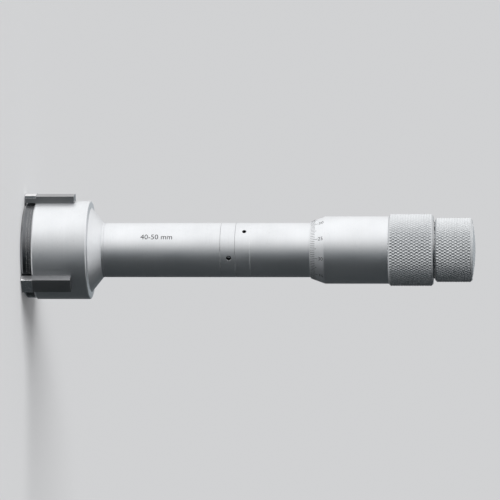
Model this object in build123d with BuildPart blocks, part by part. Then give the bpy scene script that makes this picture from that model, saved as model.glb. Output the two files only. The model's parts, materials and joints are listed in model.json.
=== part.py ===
from build123d import *
import math
import os

# Three-point micrometer for bores of 40 to 50 mm, set to 44 mm. All sizes are in millimetres.
# It stands on its nose. The origin is the centre of the nose face, and +Z runs up the axis to the ratchet.
# Turned pieces are drawn as half sections, radius across and height up, and revolved about the axis.

# Measuring range, and the anvils' travel as a share of the cone's
bore_min = 40.0
bore_max = 50.0
bore_set = 44.0
cone_ratio = 0.5
anvil_count = 3
first_anvil_angle = 90.0

# Head
head_clearance = 1.0
nose_length = 4.1
nose_step = 0.5
nose_wall = 1.7
nose_chamfer = 0.8
first_line_height = 2.1
second_line_height = 3.1
sleeve_chamfer = 0.5
sleeve_step = 0.3
shoulder_drop = 2.8
shoulder_length = 4.6
rear_wall = 3.8
cavity_clearance = 1.55

# Tubes and barrel
tube_diameter = 21.0
tube_length = 45.9
collar_length = 5.7
band_length = 5.6
barrel_shown = 28.8
barrel_end_gap = 0.7
barrel_wall = 2.0
spigot_wall = 1.5
core_joint_length = 9.8

# Thimble and grip ring
thimble_wall = 2.2
bevel_length = 5.5
thimble_plain_length = 24.5
thimble_lip = 0.2
grip_length = 17.1
grip_height = 0.8
grip_step = 0.6
grip_chamfer = 0.6
end_wall_set_back = 9.5
end_wall_thickness = 4.0
recess_wall = 1.1

# Edges and turned lines
fine_edge = 0.12
edge_break = 0.3
line_width = 0.3
line_depth = 0.2

# Anvils and their carbide tips
anvil_width = 6.0
anvil_root = 2.0
anvil_overhang = 3.1
anvil_relief = 0.25
slope_length = 9.7
crown_drop = 0.5
tip_setback = 0.2
tip_length = 4.3
tip_thickness = 1.2
ear_root = 4.6
ear_thickness = 1.6
ear_set_back = 0.3
ear_length = 3.4
ear_rim = 0.2

# Springs of the anvils
anvil_spring_diameter = 2.6
anvil_spring_wire = 0.34
anvil_spring_turns = 6
anvil_spring_side = 1.1
spring_back_wall = 2.5

# Cone, push rod and return spring
cone_lead_in = 1.5
cone_working_length = 11.5
cone_land = 1.0
cone_bore_radius = 2.0
cone_bore_depth = 6.0
rod_radius = 3.0
rod_head_radius = 4.2
rod_head_space = 0.8
rod_past_collar = 13.3
bush_length = 12.0
bush_set_in = 0.7
seat_thickness = 1.2
seat_side_space = 1.3
return_spring_wire = 0.8
return_spring_turns = 9
ball_diameter = 3.0
ball_stand_out = 1.0
end_space = 1.0

# Measuring screw
spindle_radius = 3.5
thread_radius = 4.0
thread_set_back = 7.5
spindle_seat_step = 0.4
spindle_end_radius = 2.5
spindle_end_length = 7.0
nut_length = 5.0
nut_set_in = 0.5
nut_side_space = 0.7
nut_slot_count = 4
nut_slot_width = 2.0
core_step = 1.5
core_step_length = 2.0

# Ratchet
knob_step = 0.7
knob_length = 14.3
knob_wall = 1.5
knob_end_thickness = 2.0
knob_play = 0.1
ratchet_gap = 0.7
hub_wall = 1.0
tooth_count = 24
tooth_inner_radius = 7.0
tooth_width = 1.5
tooth_height = 0.75
disc_thickness = 3.4
key_count = 3
key_width = 2.0
key_height = 0.5
ratchet_spring_diameter = 12.0
ratchet_spring_wire = 0.7
ratchet_spring_turns = 4
ratchet_screw_radius = 1.5
ratchet_screw_head_radius = 5.0
ratchet_screw_head_height = 1.4
ratchet_screw_gap = 2.3
screw_slot_width = 1.0
screw_slot_depth = 0.7
cap_wall = 2.1
cap_rim_height = 0.15
cap_dome_height = 0.95
cap_skirt_wall = 1.0
cap_skirt_length = 1.0

# Cover screws
screw_edge_distance = 4.0
cover_screw_radius = 1.25
cover_screw_head_radius = 2.2
cover_screw_head_height = 1.5
cover_screw_sink = 0.2
cover_screw_reach = 7.0
socket_across_flats = 1.5
socket_depth = 0.9

# Holes for the spanner and the barrel key
spanner_hole_radius = 1.0
spanner_hole_height = 3.4
spanner_hole_angle = 307.5
key_hole_radius = 0.8
key_hole_height = 3.5
key_hole_angle = 247.5

# Clearances
running = 0.03
screwed = 0.02
slide_gap = 0.05
cone_gap = 0.05
free_gap = 0.3

# Travels from the set reading to the ends of the range
anvil_in = (bore_set - bore_min) / 2
anvil_out = (bore_max - bore_set) / 2
cone_back = anvil_in / cone_ratio
cone_feed = anvil_out / cone_ratio

# Heights in the head, where the cone's travel sets the length
sleeve_z = nose_length
anvil_z = sleeve_z + slide_gap
cone_z = nose_wall + free_gap + cone_feed
slope_z = cone_z + cone_lead_in
anvil_end_z = slope_z + slope_length
cone_edge_z = slope_z + cone_working_length
cone_end_z = cone_edge_z + cone_land
cavity_end_z = cone_end_z + cone_back + free_gap
ear_z = slope_z + ear_set_back
ear_end_z = ear_z + ear_length

# Heights of the outside steps, from the head to the ratchet
tube_z = cavity_end_z + rear_wall
shoulder_z = tube_z - shoulder_length
sleeve_end_z = shoulder_z - sleeve_step
collar_z = tube_z + tube_length
barrel_z = collar_z + collar_length
band_z = barrel_z + band_length
thimble_z = barrel_z + barrel_shown
plain_z = thimble_z + bevel_length
grip_z = plain_z + thimble_plain_length
grip_end_z = grip_z + grip_length
knob_z = grip_end_z + ratchet_gap
knob_end_z = knob_z + knob_length
cap_rim_z = knob_end_z + cap_rim_height
top_z = cap_rim_z + cap_dome_height

# Heights inside the tubes
bush_z = cavity_end_z + bush_set_in
bush_end_z = bush_z + bush_length
core_z = collar_z - core_joint_length
seat_end_z = core_z - cone_back - end_space
seat_z = seat_end_z - seat_thickness
rod_end_z = barrel_z + rod_past_collar
ball_z = rod_end_z + ball_stand_out - ball_diameter
spindle_z = ball_z + ball_diameter + screwed
guide_z = rod_end_z + cone_back + end_space
thread_z = thimble_z + thread_set_back
nut_thread_z = thread_z - cone_feed - end_space

# Heights inside the thimble and the ratchet
wall_z = grip_z + end_wall_set_back
wall_end_z = wall_z + end_wall_thickness
core_end_z = wall_z - cone_feed - free_gap
nut_z = core_end_z - nut_length - nut_set_in
core_step_z = nut_z - core_step_length
barrel_end_z = core_step_z - barrel_end_gap
spindle_end_z = wall_end_z + spindle_end_length
flange_end_z = knob_z - free_gap
disc_z = flange_end_z + slide_gap
disc_end_z = disc_z + disc_thickness
cap_z = knob_end_z - free_gap
hub_end_z = cap_z - free_gap - ratchet_screw_head_height
knob_wall_end_z = hub_end_z - knob_play
knob_wall_z = knob_wall_end_z - knob_end_thickness


def cone_radius_at(z):
    """Radius of the measuring cone at the height z, at the set reading."""
    return anvil_inner_radius + (z - slope_z) * cone_ratio


# Radii in the head
anvil_radius = bore_set / 2
anvil_inner_radius = anvil_in + anvil_root
ear_radius = anvil_in + ear_root
sleeve_radius = bore_min / 2 - head_clearance
nose_radius = sleeve_radius - nose_step
shoulder_radius = sleeve_radius - shoulder_drop
cavity_radius = cone_radius_at(cone_edge_z) + cavity_clearance
cover_screw_circle = nose_radius - screw_edge_distance
anvil_spring_offset = anvil_width / 2 + anvil_spring_side + anvil_spring_diameter / 2
anvil_spring_end_radius = sleeve_radius - spring_back_wall
ear_half_width = anvil_spring_offset + anvil_spring_diameter / 2 + ear_rim

# Radii of the tubes, the thimble and the ratchet
tube_radius = tube_diameter / 2
core_radius = tube_radius - barrel_wall
core_rear_radius = core_radius - core_step
core_bore_radius = rod_head_radius + rod_head_space
tube_bore_radius = core_radius - spigot_wall
seat_radius = tube_bore_radius - seat_side_space
return_spring_diameter = 2 * (seat_radius - free_gap)
nut_radius = tube_radius - nut_side_space
thimble_bore_radius = tube_radius + free_gap
thimble_radius = thimble_bore_radius + thimble_wall
grip_radius = thimble_radius + grip_height
grip_seat_radius = thimble_radius - grip_step
recess_radius = grip_seat_radius - recess_wall
spindle_seat_radius = thread_radius - spindle_seat_step
flange_radius = recess_radius - free_gap
hub_radius = spindle_end_radius + hub_wall
knob_radius = thimble_radius - knob_step
knob_bore_radius = knob_radius - knob_wall
cap_radius = knob_radius - cap_wall
tooth_length = knob_bore_radius - free_gap - tooth_inner_radius


os.makedirs("parts", exist_ok=True)
anvil_angles = [first_anvil_angle + 360.0 / anvil_count * i for i in range(anvil_count)]
screw_angles = [a + 180.0 / anvil_count for a in anvil_angles]

# Head body: sleeve, step and conical shoulder, turned in one piece
slot_width = anvil_width + 2 * running
slot_length = anvil_end_z + slide_gap - sleeve_z
pocket_half_width = ear_half_width + free_gap
pocket_reach = ear_radius + ear_thickness + anvil_out + free_gap
pocket_depth = ear_end_z + free_gap - sleeve_z
spring_groove_width = anvil_spring_diameter + free_gap
with BuildPart() as head_body:
    with BuildSketch(Plane.XZ):
        Polygon(
            (cavity_radius, sleeve_z),
            (sleeve_radius - sleeve_chamfer, sleeve_z),
            (sleeve_radius, sleeve_z + sleeve_chamfer),
            (sleeve_radius, sleeve_end_z - edge_break),
            (sleeve_radius - edge_break, sleeve_end_z),
            (shoulder_radius, shoulder_z),
            (tube_radius, tube_z),
            (core_radius + screwed, tube_z),
            (core_radius + screwed, cavity_end_z),
            (cavity_radius, cavity_end_z),
            align=None,
        )
    revolve(axis=Axis.Z)
    for angle in anvil_angles:
        with BuildSketch(Plane.XY.offset(sleeve_z)):
            with Locations(Rotation(0, 0, angle)):
                with Locations((sleeve_radius, 0)):
                    Rectangle(2 * sleeve_radius, slot_width)
        extrude(amount=slot_length, mode=Mode.SUBTRACT)
        with BuildSketch(Plane.XY.offset(sleeve_z)):
            with Locations(Rotation(0, 0, angle)):
                with Locations((pocket_reach / 2, 0)):
                    Rectangle(pocket_reach, 2 * pocket_half_width)
        extrude(amount=pocket_depth, mode=Mode.SUBTRACT)
        with BuildSketch(Plane.XY.offset(sleeve_z)):
            with Locations(Rotation(0, 0, angle)):
                with Locations(
                    (anvil_spring_end_radius / 2, anvil_spring_offset),
                    (anvil_spring_end_radius / 2, -anvil_spring_offset),
                ):
                    Rectangle(anvil_spring_end_radius, spring_groove_width)
        extrude(amount=pocket_depth, mode=Mode.SUBTRACT)
    with BuildSketch(Plane.XY.offset(sleeve_z)):
        for angle in screw_angles:
            with Locations(Rotation(0, 0, angle)):
                with Locations((cover_screw_circle, 0)):
                    Circle(cover_screw_radius + screwed)
    extrude(amount=cover_screw_reach + free_gap, mode=Mode.SUBTRACT)
head_body.part.label = "head_body"
export_step(head_body.part, "parts/head_body.step")

# Front cover: the dark nose, with notches for the anvils and three sunk screws
notch_floor = anvil_radius - anvil_overhang - anvil_in - free_gap
cone_pocket_radius = cone_radius_at(sleeve_z + cone_feed) + free_gap
cone_pocket_floor = cone_z - cone_feed - free_gap
with BuildPart() as front_cover:
    with BuildSketch(Plane.XZ):
        Polygon(
            (0, 0),
            (nose_radius - nose_chamfer, 0),
            (nose_radius, nose_chamfer),
            (nose_radius, first_line_height),
            (nose_radius - line_depth, first_line_height),
            (nose_radius - line_depth, first_line_height + line_width),
            (nose_radius, first_line_height + line_width),
            (nose_radius, second_line_height),
            (nose_radius - line_depth, second_line_height),
            (nose_radius - line_depth, second_line_height + line_width),
            (nose_radius, second_line_height + line_width),
            (nose_radius, nose_length),
            (cone_pocket_radius, nose_length),
            (cone_pocket_radius, cone_pocket_floor),
            (0, cone_pocket_floor),
            align=None,
        )
    revolve(axis=Axis.Z)
    with BuildSketch():
        for angle in anvil_angles:
            with Locations(Rotation(0, 0, angle)):
                with Locations((notch_floor + nose_radius / 2, 0)):
                    Rectangle(nose_radius, anvil_width + free_gap)
        for angle in screw_angles:
            with Locations(Rotation(0, 0, angle)):
                with Locations((cover_screw_circle, 0)):
                    Circle(cover_screw_radius + running)
    extrude(amount=nose_length, mode=Mode.SUBTRACT)
    with BuildSketch():
        for angle in screw_angles:
            with Locations(Rotation(0, 0, angle)):
                with Locations((cover_screw_circle, 0)):
                    Circle(cover_screw_head_radius + slide_gap)
    extrude(amount=cover_screw_sink + cover_screw_head_height, mode=Mode.SUBTRACT)
front_cover.part.label = "front_cover"
export_step(front_cover.part, "parts/front_cover.step")

# Cover screws: round heads with a hexagon socket, sunk in the nose
socket_circle = socket_across_flats / math.sqrt(3)
screw_head_end_z = cover_screw_sink + cover_screw_head_height
with BuildPart() as cover_screw:
    with BuildSketch(Plane.XY.offset(cover_screw_sink)):
        Circle(cover_screw_head_radius)
    extrude(amount=cover_screw_head_height)
    with BuildSketch(Plane.XY.offset(screw_head_end_z)):
        Circle(cover_screw_radius)
    extrude(amount=sleeve_z + cover_screw_reach - screw_head_end_z)
    head_rim = cover_screw.edges().filter_by(GeomType.CIRCLE).sort_by(Axis.Z)[0]
    chamfer(head_rim, fine_edge)
    with BuildSketch(Plane.XY.offset(cover_screw_sink)):
        RegularPolygon(socket_circle, 6)
    extrude(amount=socket_depth, mode=Mode.SUBTRACT)
for number, angle in enumerate(screw_angles, 1):
    with BuildPart() as placed_screw:
        with Locations(Rotation(0, 0, angle)):
            with Locations((cover_screw_circle, 0, 0)):
                add(cover_screw.part)
    placed_screw.part.label = f"cover_screw_{number}"
    export_step(placed_screw.part, f"parts/cover_screw_{number}.step")

# Anvils: hardened bars with a sloped inner end on the cone, ears for the springs, and a crowned outer face
tip_z = tip_setback
tip_end_z = tip_z + tip_length
tip_seat_radius = anvil_radius - tip_thickness
overhang_radius = anvil_radius - anvil_overhang
crown_radius = bore_min / 2 - crown_drop
crown_centre = anvil_radius - crown_radius
slope_end_radius = cone_radius_at(anvil_end_z) + cone_gap
with BuildPart() as anvil:
    with BuildSketch(Plane.XZ):
        Polygon(
            (anvil_inner_radius + cone_gap, anvil_z),
            (overhang_radius, anvil_z),
            (overhang_radius, tip_z),
            (tip_seat_radius, tip_z),
            (tip_seat_radius, tip_end_z),
            (anvil_radius, tip_end_z),
            (anvil_radius, anvil_end_z),
            (slope_end_radius, anvil_end_z),
            (anvil_inner_radius + cone_gap, slope_z),
            align=None,
        )
    extrude(amount=anvil_width / 2, both=True)
    with BuildSketch(Plane.XY.offset(ear_z)):
        with Locations((ear_radius + ear_thickness / 2, 0)):
            Rectangle(ear_thickness, 2 * ear_half_width)
    extrude(amount=ear_length)
    with BuildSketch(Plane.XY.offset(tip_z)):
        with Locations((crown_centre, 0)):
            Circle(crown_radius - anvil_relief)
    extrude(amount=anvil_end_z - tip_z, mode=Mode.INTERSECT)
with BuildPart() as carbide_tip:
    with BuildSketch(Plane.XY.offset(tip_z)):
        with Locations((crown_centre, 0)):
            Circle(crown_radius)
        with Locations((tip_seat_radius + crown_radius, 0)):
            Rectangle(2 * crown_radius, anvil_width, mode=Mode.INTERSECT)
    extrude(amount=tip_length)
for number, angle in enumerate(anvil_angles, 1):
    with BuildPart() as placed_anvil:
        with Locations(Rotation(0, 0, angle)):
            add(anvil.part)
    placed_anvil.part.label = f"anvil_{number}"
    export_step(placed_anvil.part, f"parts/anvil_{number}.step")
    with BuildPart() as placed_tip:
        with Locations(Rotation(0, 0, angle)):
            add(carbide_tip.part)
    placed_tip.part.label = f"carbide_tip_{number}"
    export_step(placed_tip.part, f"parts/carbide_tip_{number}.step")

# Anvil springs: two on each anvil, from its ears out to the sleeve
spring_centre_z = ear_z + ear_length / 2
spring_inner = ear_radius + ear_thickness
spring_length = anvil_spring_end_radius - spring_inner - anvil_spring_wire - 2 * screwed
spring_start = spring_inner + anvil_spring_wire / 2 + screwed
with BuildPart() as anvil_springs:
    for side in (1, -1):
        with BuildLine() as small_coil:
            Helix(
                pitch=spring_length / anvil_spring_turns,
                height=spring_length,
                radius=(anvil_spring_diameter - anvil_spring_wire) / 2,
                center=(spring_start, side * anvil_spring_offset, spring_centre_z),
                direction=(1, 0, 0),
            )
        with BuildSketch(Plane(origin=small_coil.line @ 0, z_dir=small_coil.line % 0)):
            Circle(anvil_spring_wire / 2)
        sweep(path=small_coil.line, is_frenet=True)
for number, angle in enumerate(anvil_angles, 1):
    with BuildPart() as placed_springs:
        with Locations(Rotation(0, 0, angle)):
            add(anvil_springs.part)
    placed_springs.part.label = f"anvil_springs_{number}"
    export_step(placed_springs.part, f"parts/anvil_springs_{number}.step")

# Measuring cone, with a bore for the rod's front end
with BuildPart() as measuring_cone:
    with BuildSketch(Plane.XZ):
        Polygon(
            (0, cone_z),
            (cone_radius_at(cone_z) - fine_edge, cone_z),
            (cone_radius_at(cone_z + 2 * fine_edge), cone_z + 2 * fine_edge),
            (cone_radius_at(cone_edge_z), cone_edge_z),
            (cone_radius_at(cone_edge_z), cone_end_z),
            (cone_bore_radius + screwed, cone_end_z),
            (cone_bore_radius + screwed, cone_end_z - cone_bore_depth),
            (0, cone_end_z - cone_bore_depth),
            align=None,
        )
    revolve(axis=Axis.Z)
measuring_cone.part.label = "measuring_cone"
export_step(measuring_cone.part, "parts/measuring_cone.step")

# Push rod, with a pocket for the ball at its rear end
ball_radius = ball_diameter / 2
with BuildPart() as push_rod:
    with BuildSketch(Plane.XZ):
        Polygon(
            (0, cone_end_z - cone_bore_depth + free_gap),
            (cone_bore_radius, cone_end_z - cone_bore_depth + free_gap),
            (cone_bore_radius, cone_end_z),
            (rod_radius, cone_end_z),
            (rod_radius, seat_end_z),
            (rod_head_radius, seat_end_z),
            (rod_head_radius, rod_end_z),
            (ball_radius + screwed, rod_end_z),
            (ball_radius + screwed, ball_z),
            (0, ball_z),
            align=None,
        )
    revolve(axis=Axis.Z)
push_rod.part.label = "push_rod"
export_step(push_rod.part, "parts/push_rod.step")

# Contact ball between the rod and the spindle
with BuildPart() as contact_ball:
    with BuildSketch(Plane.XZ):
        with BuildLine():
            CenterArc((0, ball_z + ball_radius), ball_radius, -90, 180)
            Line((0, ball_z + ball_diameter), (0, ball_z))
        make_face()
    revolve(axis=Axis.Z)
contact_ball.part.label = "contact_ball"
export_step(contact_ball.part, "parts/contact_ball.step")

# Guide bush of the rod, in the front end of the tube
with BuildPart() as rod_guide_bush:
    with BuildSketch(Plane.XY.offset(bush_z)):
        Circle(tube_bore_radius - screwed)
        Circle(rod_radius + running, mode=Mode.SUBTRACT)
    extrude(amount=bush_length)
    chamfer(rod_guide_bush.edges().group_by(Axis.Z)[-1], fine_edge)
rod_guide_bush.part.label = "rod_guide_bush"
export_step(rod_guide_bush.part, "parts/rod_guide_bush.step")

# Spring seat, a washer against the rod's shoulder
with BuildPart() as spring_seat:
    with BuildSketch(Plane.XY.offset(seat_z)):
        Circle(seat_radius)
        Circle(rod_radius + screwed, mode=Mode.SUBTRACT)
    extrude(amount=seat_thickness)
spring_seat.part.label = "spring_seat"
export_step(spring_seat.part, "parts/spring_seat.step")

# Return spring round the rod, between the bush and the seat
return_coil_z = bush_end_z + return_spring_wire / 2 + screwed
return_coil_length = seat_z - bush_end_z - return_spring_wire - 2 * screwed
with BuildPart() as rod_return_spring:
    with BuildLine(Plane.XY.offset(return_coil_z)) as return_coil:
        Helix(
            pitch=return_coil_length / return_spring_turns,
            height=return_coil_length,
            radius=(return_spring_diameter - return_spring_wire) / 2,
        )
    with BuildSketch(Plane(origin=return_coil.line @ 0, z_dir=return_coil.line % 0)):
        Circle(return_spring_wire / 2)
    sweep(path=return_coil.line, is_frenet=True)
rod_return_spring.part.label = "rod_return_spring"
export_step(rod_return_spring.part, "parts/rod_return_spring.step")

# Head tube, with a spigot in the head and a turned line beside it
tube_line_z = tube_z + 2 * line_width
with BuildPart() as head_tube:
    with BuildSketch(Plane.XZ):
        Polygon(
            (tube_bore_radius, cavity_end_z),
            (core_radius, cavity_end_z),
            (core_radius, tube_z),
            (tube_radius, tube_z),
            (tube_radius, tube_line_z),
            (tube_radius - line_depth, tube_line_z),
            (tube_radius - line_depth, tube_line_z + line_width),
            (tube_radius, tube_line_z + line_width),
            (tube_radius, collar_z - fine_edge),
            (tube_radius - fine_edge, collar_z),
            (core_radius + screwed, collar_z),
            (core_radius + screwed, core_z),
            (tube_bore_radius, core_z),
            align=None,
        )
    revolve(axis=Axis.Z)
head_tube.part.label = "head_tube"
export_step(head_tube.part, "parts/head_tube.step")

# Inner sleeve: the fixed core, with the rod's space, the spindle's guide and the nut thread
with BuildPart() as inner_sleeve:
    with BuildSketch(Plane.XZ):
        Polygon(
            (core_bore_radius, core_z),
            (core_radius, core_z),
            (core_radius, core_step_z),
            (core_rear_radius, core_step_z),
            (core_rear_radius, core_end_z),
            (thread_radius + running, core_end_z),
            (thread_radius + running, nut_thread_z),
            (spindle_radius + running, nut_thread_z),
            (spindle_radius + running, guide_z),
            (core_bore_radius, guide_z),
            align=None,
        )
    revolve(axis=Axis.Z)
inner_sleeve.part.label = "inner_sleeve"
export_step(inner_sleeve.part, "parts/inner_sleeve.step")


def outward_plane(height, angle):
    """Plane at the height that faces outwards at the angle, halfway to the wall of the inner sleeve."""
    out = Vector(1, 0, 0).rotate(Axis.Z, angle)
    return Plane(origin=(0, 0, height), x_dir=(0, 0, 1), z_dir=out).offset(core_radius / 2)


# Joint collar, with a hole for the spanner
with BuildPart() as joint_collar:
    with BuildSketch(Plane.XZ):
        Polygon(
            (core_radius + screwed, collar_z),
            (tube_radius - fine_edge, collar_z),
            (tube_radius, collar_z + fine_edge),
            (tube_radius, barrel_z - fine_edge),
            (tube_radius - fine_edge, barrel_z),
            (core_radius + screwed, barrel_z),
            align=None,
        )
    revolve(axis=Axis.Z)
    with BuildSketch(outward_plane(collar_z + spanner_hole_height, spanner_hole_angle)):
        Circle(spanner_hole_radius)
    extrude(amount=tube_radius, mode=Mode.SUBTRACT)
joint_collar.part.label = "joint_collar"
export_step(joint_collar.part, "parts/joint_collar.step")

# Graduated barrel, with a turned line and a hole for the key
barrel_bore_radius = core_radius + running
with BuildPart() as graduated_barrel:
    with BuildSketch(Plane.XZ):
        Polygon(
            (barrel_bore_radius, barrel_z),
            (tube_radius - fine_edge, barrel_z),
            (tube_radius, barrel_z + fine_edge),
            (tube_radius, band_z),
            (tube_radius - fine_edge, band_z + line_width / 2),
            (tube_radius, band_z + line_width),
            (tube_radius, barrel_end_z - edge_break),
            (tube_radius - edge_break, barrel_end_z),
            (barrel_bore_radius, barrel_end_z),
            align=None,
        )
    revolve(axis=Axis.Z)
    with BuildSketch(outward_plane(barrel_z + key_hole_height, key_hole_angle)):
        Circle(key_hole_radius)
    extrude(amount=tube_radius, mode=Mode.SUBTRACT)
graduated_barrel.part.label = "graduated_barrel"
export_step(graduated_barrel.part, "parts/graduated_barrel.step")

# Adjusting nut on the rear end of the inner sleeve, with four spanner slots
with BuildPart() as adjusting_nut:
    with BuildSketch(Plane.XY.offset(nut_z)):
        Circle(nut_radius)
        Circle(core_rear_radius + screwed, mode=Mode.SUBTRACT)
    extrude(amount=nut_length)
    with BuildSketch(Plane.XY.offset(nut_z + nut_length / 2)):
        with PolarLocations(nut_radius, nut_slot_count):
            Rectangle(nut_slot_width, nut_slot_width)
    extrude(amount=nut_length / 2, mode=Mode.SUBTRACT)
adjusting_nut.part.label = "adjusting_nut"
export_step(adjusting_nut.part, "parts/adjusting_nut.step")

# Spindle, the measuring screw
with BuildPart() as spindle:
    with BuildSketch(Plane.XZ):
        Polygon(
            (0, spindle_z),
            (spindle_radius - edge_break, spindle_z),
            (spindle_radius, spindle_z + edge_break),
            (spindle_radius, thread_z),
            (thread_radius, thread_z),
            (thread_radius, wall_z),
            (spindle_seat_radius, wall_z),
            (spindle_seat_radius, wall_end_z),
            (spindle_end_radius, wall_end_z),
            (spindle_end_radius, spindle_end_z),
            (0, spindle_end_z),
            align=None,
        )
    revolve(axis=Axis.Z)
spindle.part.label = "spindle"
export_step(spindle.part, "parts/spindle.step")

# Thimble, with the bevelled end, the seat of the grip ring and the end wall on the spindle
with BuildPart() as thimble:
    with BuildSketch(Plane.XZ):
        Polygon(
            (thimble_bore_radius, thimble_z),
            (thimble_bore_radius + thimble_lip, thimble_z),
            (thimble_radius, plain_z),
            (thimble_radius, grip_z),
            (grip_seat_radius, grip_z),
            (grip_seat_radius, grip_end_z),
            (recess_radius, grip_end_z),
            (recess_radius, wall_end_z),
            (spindle_seat_radius + screwed, wall_end_z),
            (spindle_seat_radius + screwed, wall_z),
            (thimble_bore_radius, wall_z),
            align=None,
        )
    revolve(axis=Axis.Z)
thimble.part.label = "thimble"
export_step(thimble.part, "parts/thimble.step")

# Grip ring, knurled on its outside
with BuildPart() as grip_ring:
    with BuildSketch(Plane.XZ):
        Polygon(
            (grip_seat_radius + screwed, grip_z),
            (grip_radius - grip_chamfer, grip_z),
            (grip_radius, grip_z + grip_chamfer),
            (grip_radius, grip_end_z - grip_chamfer),
            (grip_radius - grip_chamfer, grip_end_z),
            (grip_seat_radius + screwed, grip_end_z),
            align=None,
        )
    revolve(axis=Axis.Z)
grip_ring.part.label = "grip_ring"
export_step(grip_ring.part, "parts/grip_ring.step")


def saw_tooth(grown):
    """Corners of one ratchet tooth seen along a radius, larger all round by grown."""
    return [
        (-tooth_width / 2 - 2 * grown, flange_end_z),
        (tooth_width / 2 + grown, flange_end_z),
        (tooth_width / 2 + grown, flange_end_z + tooth_height + grown),
    ]


# Ratchet base: screwed on the spindle's end, it holds the thimble and has teeth on its rear face
with BuildPart() as base_tooth:
    with BuildSketch(Plane.YZ.offset(tooth_inner_radius)):
        Polygon(*saw_tooth(0.0), align=None)
    extrude(amount=tooth_length)
with BuildPart() as ratchet_base:
    with BuildSketch(Plane.XZ):
        Polygon(
            (spindle_end_radius + screwed, wall_end_z),
            (flange_radius, wall_end_z),
            (flange_radius, flange_end_z),
            (hub_radius, flange_end_z),
            (hub_radius, hub_end_z),
            (ratchet_screw_radius + screwed, hub_end_z),
            (ratchet_screw_radius + screwed, spindle_end_z + free_gap),
            (spindle_end_radius + screwed, spindle_end_z + free_gap),
            align=None,
        )
    revolve(axis=Axis.Z)
    with PolarLocations(0, tooth_count):
        add(base_tooth.part)
ratchet_base.part.label = "ratchet_base"
export_step(ratchet_base.part, "parts/ratchet_base.step")

# Ratchet disc, keyed in the knob, with the opposite teeth
with BuildPart() as tooth_gap:
    with BuildSketch(Plane.YZ.offset(tooth_inner_radius - slide_gap)):
        Polygon(*saw_tooth(slide_gap), align=None)
    extrude(amount=knob_radius - tooth_inner_radius)
with BuildPart() as ratchet_disc:
    with BuildSketch(Plane.XY.offset(disc_z)):
        Circle(knob_bore_radius - slide_gap)
        with PolarLocations(knob_bore_radius, key_count):
            Rectangle(2 * key_height, key_width)
        Circle(hub_radius + slide_gap, mode=Mode.SUBTRACT)
    extrude(amount=disc_thickness)
    with PolarLocations(0, tooth_count):
        add(tooth_gap.part, mode=Mode.SUBTRACT)
ratchet_disc.part.label = "ratchet_disc"
export_step(ratchet_disc.part, "parts/ratchet_disc.step")

# Ratchet spring, between the disc and the knob's inner wall
ratchet_coil_z = disc_end_z + ratchet_spring_wire / 2 + screwed
ratchet_coil_length = knob_wall_z - disc_end_z - ratchet_spring_wire - 2 * screwed
with BuildPart() as ratchet_spring:
    with BuildLine(Plane.XY.offset(ratchet_coil_z)) as ratchet_coil:
        Helix(
            pitch=ratchet_coil_length / ratchet_spring_turns,
            height=ratchet_coil_length,
            radius=(ratchet_spring_diameter - ratchet_spring_wire) / 2,
        )
    with BuildSketch(Plane(origin=ratchet_coil.line @ 0, z_dir=ratchet_coil.line % 0)):
        Circle(ratchet_spring_wire / 2)
    sweep(path=ratchet_coil.line, is_frenet=True)
ratchet_spring.part.label = "ratchet_spring"
export_step(ratchet_spring.part, "parts/ratchet_spring.step")

# Ratchet knob, knurled on its outside, with keyways for the disc
with BuildPart() as ratchet_knob:
    with BuildSketch(Plane.XZ):
        Polygon(
            (knob_bore_radius, knob_z),
            (knob_radius - grip_chamfer, knob_z),
            (knob_radius, knob_z + grip_chamfer),
            (knob_radius, knob_end_z - grip_chamfer),
            (knob_radius - grip_chamfer, knob_end_z),
            (cap_radius + screwed, knob_end_z),
            (cap_radius + screwed, knob_wall_end_z),
            (hub_radius + running, knob_wall_end_z),
            (hub_radius + running, knob_wall_z),
            (knob_bore_radius, knob_wall_z),
            align=None,
        )
    revolve(axis=Axis.Z)
    with BuildSketch(Plane.XY.offset(knob_z)):
        with PolarLocations(knob_bore_radius, key_count):
            Rectangle(2 * (key_height + slide_gap), key_width + 2 * slide_gap)
    extrude(amount=disc_end_z + free_gap - knob_z, mode=Mode.SUBTRACT)
ratchet_knob.part.label = "ratchet_knob"
export_step(ratchet_knob.part, "parts/ratchet_knob.step")

# Ratchet screw, which keeps the knob on the hub
with BuildPart() as ratchet_screw:
    with BuildSketch(Plane.XY.offset(hub_end_z)):
        Circle(ratchet_screw_head_radius)
    extrude(amount=ratchet_screw_head_height)
    with BuildSketch(Plane.XY.offset(hub_end_z)):
        Circle(ratchet_screw_radius)
    extrude(amount=spindle_end_z + ratchet_screw_gap - hub_end_z)
    with BuildSketch(Plane.XY.offset(hub_end_z + ratchet_screw_head_height)):
        Rectangle(2 * ratchet_screw_head_radius, screw_slot_width)
    extrude(amount=-screw_slot_depth, mode=Mode.SUBTRACT)
ratchet_screw.part.label = "ratchet_screw"
export_step(ratchet_screw.part, "parts/ratchet_screw.step")

# End cap: a shallow dome with a skirt, pressed in the knob
with BuildPart() as end_cap:
    with BuildSketch(Plane.XZ):
        with BuildLine():
            TangentArc((0, top_z), (cap_radius, cap_rim_z), tangent=(1, 0))
            Polyline(
                (cap_radius, cap_rim_z),
                (cap_radius, cap_z - cap_skirt_length),
                (cap_radius - cap_skirt_wall, cap_z - cap_skirt_length),
                (cap_radius - cap_skirt_wall, cap_z),
                (0, cap_z),
                (0, top_z),
            )
        make_face()
    revolve(axis=Axis.Z)
end_cap.part.label = "end_cap"
export_step(end_cap.part, "parts/end_cap.step")
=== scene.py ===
"""Looks of a three-point micrometer for bores of 40 to 50 mm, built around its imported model.

The instrument stands on its nose, with its axis on Z. Angles about the axis are counted in degrees from +X
towards +Y. The first anvil and the datum line of the scale are at 90 degrees.
"""
import json
import math

import bmesh
import bpy
import numpy as np
from mathutils import Matrix, Vector


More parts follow.
